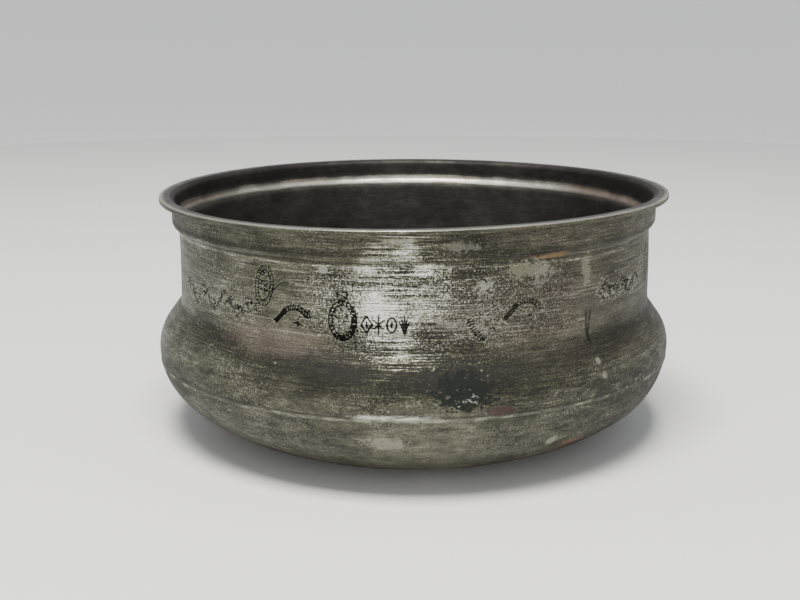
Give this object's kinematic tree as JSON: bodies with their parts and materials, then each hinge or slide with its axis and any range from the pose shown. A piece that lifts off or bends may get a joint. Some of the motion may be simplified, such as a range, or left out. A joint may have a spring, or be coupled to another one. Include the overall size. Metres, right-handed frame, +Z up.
{
  "type": "shaving bowl",
  "caption": "Round tinned copper bowl with a flat out-turned rim, upright neck, swelling belly and flat bottom, for holding shaving water and lather.",
  "frame": {"origin": "on the bowl's axis, at the centre of the flat face that it stands on", "axes": "+Z up along the bowl's axis; the engraved front faces -Y; the side seam lies 40 degrees to the right of the front, towards +X"},
  "size_m": [0.204, 0.204, 0.095],
  "materials": {
    "tinned_wall": "old hot-tinned copper, wiped round, tarnished olive grey with worn bright streaks",
    "tinned_base": "old hot-tinned copper, pitted and dull olive",
    "tinned_braze": "spelter braze under worn tin, dull grey green"
  },
  "bodies": {
    "root": {"wall_sheet": "tinned_wall", "base_dish": "tinned_base", "side_seam_braze": "tinned_braze", "belly_seam_braze": "tinned_braze"}
  },
  "joints": []
}
